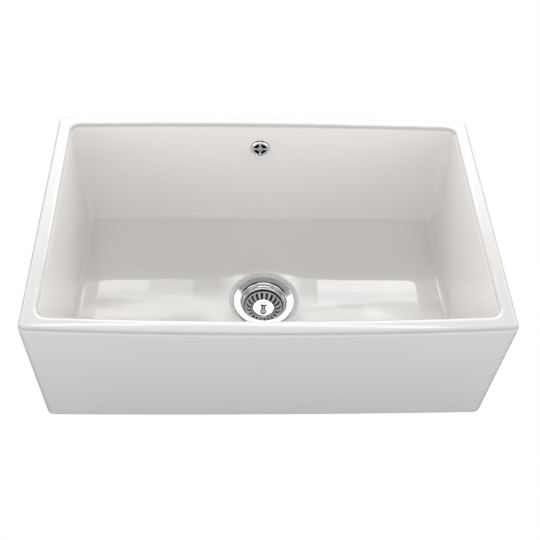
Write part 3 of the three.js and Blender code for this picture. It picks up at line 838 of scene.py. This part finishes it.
# A domed head on a waist, from the disc up
KNOB_PATH = [
    (0, 4.9),
    (5.0, 4.9),
    (5.0, 5.5),
    (4.5, 6.5),
    (4.4, 8.5),
    (4.7, 10.8),
    (5.5, 13.2),
    (6.5, 15.0),
    (7.3, 16.1),
    (7.0, 16.9),
    (5.2, 17.5),
    (2.4, KNOB_TOP / MM),
    (0, KNOB_TOP / MM),
]


def make_knob():
    knob = finished("Knob", spun_solid(KNOB_PATH, steps=64, rounding=0.4), POLISHED_STEEL)
    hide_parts("basket_knob")
    return knob


# ---------------------------------------------------------------- overflow

# A rolled ring round a dished face with a raised seat for the screw
ROSE_PATH = [
    (18.6, 0.4),
    (18.5, 1.4),
    (17.4, 3.1),
    (15.8, 4.7),
    (14.2, 5.0),
    (12.8, 4.2),
    (9.0, 3.2),
    (5.4, 3.4),
    (4.9, 4.2),
    (4.3, 4.2),
    (4.2, 3.1),
    (2.8, 3.0),
]
PETAL_INNER = 5.4 * MM
PETAL_OUTER = 12.8 * MM
PETAL_SPAN = math.radians(70)


def rose_place():
    """Where the rose lies: on the sloping inner back wall, facing the bowl."""
    drop = INNER_TOP["back"] + INNER_BOW_BACK_TOP - INNER_FOOT["back"] - INNER_BOW_BACK_FOOT
    slope = math.atan(drop / (WALL_TOP - WALL_FOOT))
    back_y = INNER_TOP["back"] + INNER_BOW_BACK_TOP - (WALL_TOP - OVERFLOW_HEIGHT) * math.tan(slope)
    spot = Matrix.Translation((OVERFLOW_X, back_y, OVERFLOW_HEIGHT))
    return spot @ Matrix.Rotation(math.pi / 2 - slope, 4, "X")


def in_petal(radius, angle):
    """The four petals lie on the diagonals."""
    off_diagonal = angle % (math.pi / 2) - math.pi / 4
    return PETAL_INNER < radius < PETAL_OUTER and abs(off_diagonal) < PETAL_SPAN / 2


def make_rose():
    bm = spun_sheet(ROSE_PATH, steps=144, rounding=0.5)
    open_up(bm, in_petal)
    bm.transform(rose_place())
    rose = finished("Overflow_rose", bm, CHROME)
    thicken(rose, ROSE_SHEET)
    soften_edges(rose, width=0.2 * MM)
    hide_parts("overflow_rose")
    return rose


# ---------------------------------------------------------------- overflow hose

HOSE_RIBS = 66
HOSE_CREST = 9 * MM
HOSE_TROUGH = 7.7 * MM
HOSE_BORE = 6.6 * MM
HOSE_CUFF = 15 * MM
HOSE_SIDES = 32
RING_SPACING = 0.75 * MM
ROUTE_SPACING = 0.5 * MM
RINGS_PER_BORE_RING = 4
RIB_FULLNESS = 0.7  # below 1 the crests are broader than the troughs


def hose_route():
    """The route of the hose's axis, repeated from the construction."""
    return [
        (OVERFLOW_X, PIPE_AXIS_Y, HOSE_TOP),
        (OVERFLOW_X, PIPE_AXIS_Y, HOSE_TOP - 19.7 * MM),
        (OVERFLOW_X, 267.5 * MM, 120 * MM),
        (-7.5 * MM, 269 * MM, 70 * MM),
        (-7 * MM, 267 * MM, 22 * MM),
        (-6 * MM, 257 * MM, -18 * MM),
        (-5 * MM, 234 * MM, -45 * MM),
        (-4 * MM, 200 * MM, -56 * MM),
        (-2.5 * MM, 160 * MM, -51 * MM),
        (-1 * MM, 122 * MM, -36 * MM),
        (0, 98 * MM, -26 * MM),
        (0, 80 * MM, INLET_HEIGHT),
        (0, HOSE_END_Y, INLET_HEIGHT),
    ]


def smooth_line(points, spacing):
    """Centripetal Catmull-Rom line through the points, as evenly spaced places, and its length."""
    knots = [Vector(p) for p in points]
    knots = [2 * knots[0] - knots[1]] + knots + [2 * knots[-1] - knots[-2]]
    steps = 60  # between one point and the next, before the line is divided evenly
    fine = []
    for p0, p1, p2, p3 in zip(knots, knots[1:], knots[2:], knots[3:]):
        d1 = (p1 - p0).length ** 0.5
        d2 = (p2 - p1).length ** 0.5
        d3 = (p3 - p2).length ** 0.5
        start = ((p1 - p0) / d1 - (p2 - p0) / (d1 + d2) + (p2 - p1) / d2) * d2
        end = ((p2 - p1) / d2 - (p3 - p1) / (d2 + d3) + (p3 - p2) / d3) * d2
        for step in range(steps):
            t = step / steps
            a = 2 * p1 - 2 * p2 + start + end
            b = -3 * p1 + 3 * p2 - 2 * start - end
            fine.append(((a * t + b) * t + start) * t + p1)
    fine.append(knots[-2])
    lengths = [0.0]
    for one, other in zip(fine, fine[1:]):
        lengths.append(lengths[-1] + (other - one).length)
    total = lengths[-1]
    count = round(total / spacing)
    places = []
    at = 0
    for i in range(count + 1):
        wanted = total * i / count
        while at < len(fine) - 2 and lengths[at + 1] < wanted:
            at += 1
        share = (wanted - lengths[at]) / (lengths[at + 1] - lengths[at])
        places.append(fine[at].lerp(fine[at + 1], share))
    return places, total


def rib_radius(distance, total):
    """Outside of the hose: a plain cuff at each end and round ribs between them."""
    ribbed = total - 2 * HOSE_CUFF
    along = distance - HOSE_CUFF
    if along <= 0 or along >= ribbed:
        return HOSE_CREST
    phase = along / ribbed * HOSE_RIBS
    wave = 0.5 + 0.5 * math.cos(2 * math.pi * phase)
    return HOSE_TROUGH + (HOSE_CREST - HOSE_TROUGH) * wave ** RIB_FULLNESS


def make_hose():
    """A straight ribbed tube, bent along the smoothed route without a twist."""
    places, total = smooth_line(hose_route(), ROUTE_SPACING)
    steps = round(total / RING_SPACING)
    outside = [total * i / steps for i in range(steps + 1)]
    profile = [(rib_radius(along, total) / MM, along / MM) for along in outside]
    profile += [(HOSE_BORE / MM, along / MM) for along in outside[::-RINGS_PER_BORE_RING]]
    if profile[-1][1] > 0:  # the bore's last ring lies at the end of the hose
        profile.append((HOSE_BORE / MM, 0))
    bm = spun_solid([*profile, profile[0]], HOSE_SIDES, rounding=0)
    turns = []
    across = Vector((1, 0, 0))
    for i, place in enumerate(places):
        along = (places[min(i + 1, len(places) - 1)] - places[max(i - 1, 0)]).normalized()
        across = (across - along * across.dot(along)).normalized()
        turns.append(Matrix((across, along.cross(across), along)).transposed())
    for vert in bm.verts:
        station = vert.co.z / total * (len(places) - 1)
        at = min(int(station), len(places) - 2)
        place = places[at].lerp(places[at + 1], station - at)
        vert.co = place + turns[round(station)] @ Vector((vert.co.x, vert.co.y, 0))
    close_up(bm)
    hose = finished("Overflow_hose", bm, GREY_PLASTIC)
    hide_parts("overflow_hose")
    return hose


# ---------------------------------------------------------------- the object

sink_pieces = [make_basin(), make_flange_bowl(), make_rose(), make_hose()]
strainer_pieces = [make_basket(), make_knob()]

CARRIED = {
    "flange_gasket": (FOAM, "foam_rubber"),
    "underside_gasket": (RUBBER, "black_rubber"),
    "waste_body": (WHITE_PLASTIC, "white_plastic"),
    "waste_tail": (WHITE_PLASTIC, "white_plastic"),
    "waste_spider": (WHITE_PLASTIC, "white_plastic"),
    "waste_inlet_stub": (WHITE_PLASTIC, "white_plastic"),
    "centre_bolt": (BRASS, "brass"),
    "bolt_nut": (BRASS, "brass"),
    "overflow_screw": (SATIN_STEEL, "plain_steel"),
    "overflow_gasket": (FOAM, "foam_rubber"),
    "overflow_elbow": (GREY_PLASTIC, "grey_plastic"),
    "screw_nut": (BRASS, "brass"),
    "hose_nut_upper": (WHITE_PLASTIC, "white_plastic"),
    "hose_nut_lower": (WHITE_PLASTIC, "white_plastic"),
    "cone_washer_upper": (RUBBER, "black_rubber"),
    "cone_washer_lower": (RUBBER, "black_rubber"),
}
CARRIED_ON_STRAINER = {
    "basket_stem": (SATIN_STEEL, "plain_steel"),
    "basket_seal": (RUBBER, "black_rubber"),
    "stem_spring_clip": (SATIN_STEEL, "plain_steel"),
}
for names, group in ((CARRIED, sink_pieces), (CARRIED_ON_STRAINER, strainer_pieces)):
    for node, (material, slot_name) in names.items():
        piece = merged_copy(node, material)
        group.append(piece)

for piece in sink_pieces:
    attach(piece, "sink")
for piece in strainer_pieces:
    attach(piece, "strainer")

# ---------------------------------------------------------------- ground and light

GROUND_HEIGHT = -0.09
GROUND_HALF_WIDTH = 6
# The ground's colour is painted shade: dark under the sink and pale farther out. The oval between is wider
# from left to right
SHADE_OVAL = (0.65, 1, 0)
SHADE = {"From Min": 0.35, "From Max": 1.1, "To Min": 0.08, "To Max": 0.7}


def make_ground():
    """A ground under everything, white where the camera sees it, with painted shade under the sink in every
    other ray.
    """
    bm = bmesh.new()
    place = Matrix.Translation((0, 0, GROUND_HEIGHT))
    bmesh.ops.create_grid(bm, x_segments=1, y_segments=1, size=GROUND_HALF_WIDTH, matrix=place)
    material, tree, shader = new_material("white_ground")
    place = tree.nodes.new("ShaderNodeTexCoord").outputs["Object"]
    squeezed = node_in(tree, "ShaderNodeVectorMath", operation="MULTIPLY")
    squeezed.inputs[1].default_value = SHADE_OVAL
    tree.links.new(place, squeezed.inputs[0])
    away = node_in(tree, "ShaderNodeVectorMath", operation="LENGTH")
    tree.links.new(squeezed.outputs["Vector"], away.inputs[0])
    shade = node_in(tree, "ShaderNodeMapRange", SHADE, interpolation_type="SMOOTHSTEP")
    tree.links.new(away.outputs["Value"], shade.inputs["Value"])
    tree.links.new(shade.outputs["Result"], shader.inputs["Base Color"])
    add_wear(tree, shader, low=0.8, high=0.95, grain=60, depth=0.1)
    surface = tree.nodes["Material Output"].inputs["Surface"]
    white_to_camera(tree, "ShaderNodeEmission", shader.outputs["BSDF"], surface)
    ground = finished("Ground", bm, material)


make_ground()

ALL_ROUND = 180  # half the width, in degrees, of a light with no left and right edge

# Soft lights of the studio, the same on the left and on the right, each a patch of the surroundings in
# degrees: azimuth (0 in front of the apron), half its width, lowest and highest elevation, softness of its
# edge, strength
STUDIO = {
    "back_rim": (180, 30, 34, 44, 5, 2.8),
    "back_high": (180, 26, 44, 51, 5, 1.35),
    "back_top": (180, 36, 53.8, 55.0, 0.4, 3.3),
    "back_wide": (180, 50, 40, 64, 5, 0.35),
    "back_sides": (180, 80, -10, 40, 5, 1.65),
    "mid_low": (0, 30, -10, 12, 5, 0.95),
    "mid_high": (0, 30, 12, 40, 5, 0.15),
    "mid_top": (0, 30, 40, 64, 5, 1.45),
    "box_low": (52, 24, -10, 20, 5, 1.85),
    "box_high": (52, 24, 20, 45, 5, 1.5),
    "overhead": (0, ALL_ROUND, 78, 100, 4, 0.4),
}


def sky_angles(tree):
    """The elevation of a direction, and its level part with left and right folded into one."""
    split = tree.nodes.new("ShaderNodeSeparateXYZ")
    tree.links.new(tree.nodes.new("ShaderNodeTexCoord").outputs["Generated"], split.inputs["Vector"])
    elevation = node_in(tree, "ShaderNodeMath", operation="ARCSINE")
    tree.links.new(split.outputs["Z"], elevation.inputs[0])
    sideways = node_in(tree, "ShaderNodeMath", operation="ABSOLUTE")
    tree.links.new(split.outputs["X"], sideways.inputs[0])
    level_part = tree.nodes.new("ShaderNodeCombineXYZ")
    tree.links.new(sideways.outputs["Value"], level_part.inputs["X"])
    tree.links.new(split.outputs["Y"], level_part.inputs["Y"])
    heading = node_in(tree, "ShaderNodeVectorMath", operation="NORMALIZE")
    tree.links.new(level_part.outputs["Vector"], heading.inputs[0])
    return elevation.outputs["Value"], heading.outputs["Vector"]


def sky_patch(tree, elevation, heading, azimuth, half_width, lowest, highest, soft):
    """Mask of one soft light: 1 inside its patch, falling smoothly to 0 over its edges."""
    rise = ramp(tree, elevation, math.radians(lowest - soft), math.radians(lowest + soft))
    fall = ramp(tree, elevation, math.radians(highest + soft), math.radians(highest - soft))
    patch = product(tree, rise, fall)
    if half_width == ALL_ROUND:
        return patch
    turn = math.radians(azimuth)
    facing = node_in(tree, "ShaderNodeVectorMath", operation="DOT_PRODUCT")
    facing.inputs[1].default_value = (math.sin(turn), -math.cos(turn), 0)
    tree.links.new(heading, facing.inputs[0])
    outside = math.cos(math.radians(half_width + 2 * soft))
    inside = math.cos(math.radians(half_width - 2 * soft))
    return product(tree, patch, ramp(tree, facing.outputs["Value"], outside, inside))


def make_studio():
    world = bpy.data.worlds.new("studio")
    world.use_nodes = True
    bpy.context.scene.world = world
    tree = world.node_tree
    tree.nodes.clear()
    elevation, heading = sky_angles(tree)
    light = node_in(tree, "ShaderNodeBackground", {"Color": (1, 1, 1, 1)})
    radiance = 0.0
    for *extent, strength in STUDIO.values():
        lit = product(tree, sky_patch(tree, elevation, heading, *extent), strength)
        radiance = combined(tree, "ADD", radiance, lit)
    tree.links.new(radiance, light.inputs["Strength"])
    surface = tree.nodes.new("ShaderNodeOutputWorld").inputs["Surface"]
    white_to_camera(tree, "ShaderNodeBackground", light.outputs["Background"], surface)


# Softboxes behind the sink, all in one leaning plane through SOFTBOX_PLACE and facing the bowl's floor:
# left and right edge, lower and upper edge along the plane from that place, radiance
SOFTBOX_PLACE = Vector((0, 1.0, 1.19))
SOFTBOXES = (
    (-0.620, -0.525, 0.100, 0.142, 0.8),
    (-0.525, -0.335, -0.125, 0.096, 3.3),
    (-0.525, -0.335, 0.096, 0.128, 2.2),
    (-0.335, -0.170, -0.125, 0.128, 1.8),
    (-0.170, 0.030, 0.060, 0.142, 0.6),
    (0.030, 0.220, 0.060, 0.142, 1.6),
    (0.220, 0.605, -0.125, 0.096, 4.3),
    (0.220, 0.605, 0.096, 0.142, 3.2),
    (0.400, 0.605, 0.142, 0.190, 1.4),
    (0.605, 0.750, 0.130, 0.190, 1.0),
)


def make_softboxes():
    """The glazed floor mirrors their upper edges, bright on the left and on the right of the waste."""
    toward = Vector((0, 0, FLOOR_AT_WALLS)) - SOFTBOX_PLACE
    turn = toward.to_track_quat("-Z", "Y")
    for left, right, low, high, radiance in SOFTBOXES:
        lamp = bpy.data.lights.new("Softbox", "AREA")
        lamp.shape = "RECTANGLE"
        lamp.size, lamp.size_y = right - left, high - low
        lamp.energy = radiance * math.pi * (right - left) * (high - low)
        box = bpy.data.objects.new("Softbox", lamp)
        # The plane's own X axis points to the left
        box.location = SOFTBOX_PLACE + turn @ Vector((-(left + right) / 2, (low + high) / 2, 0))
        box.rotation_euler = turn.to_euler()
        bpy.context.scene.collection.objects.link(box)


make_studio()
make_softboxes()
bpy.context.scene.view_settings.view_transform = "Standard"
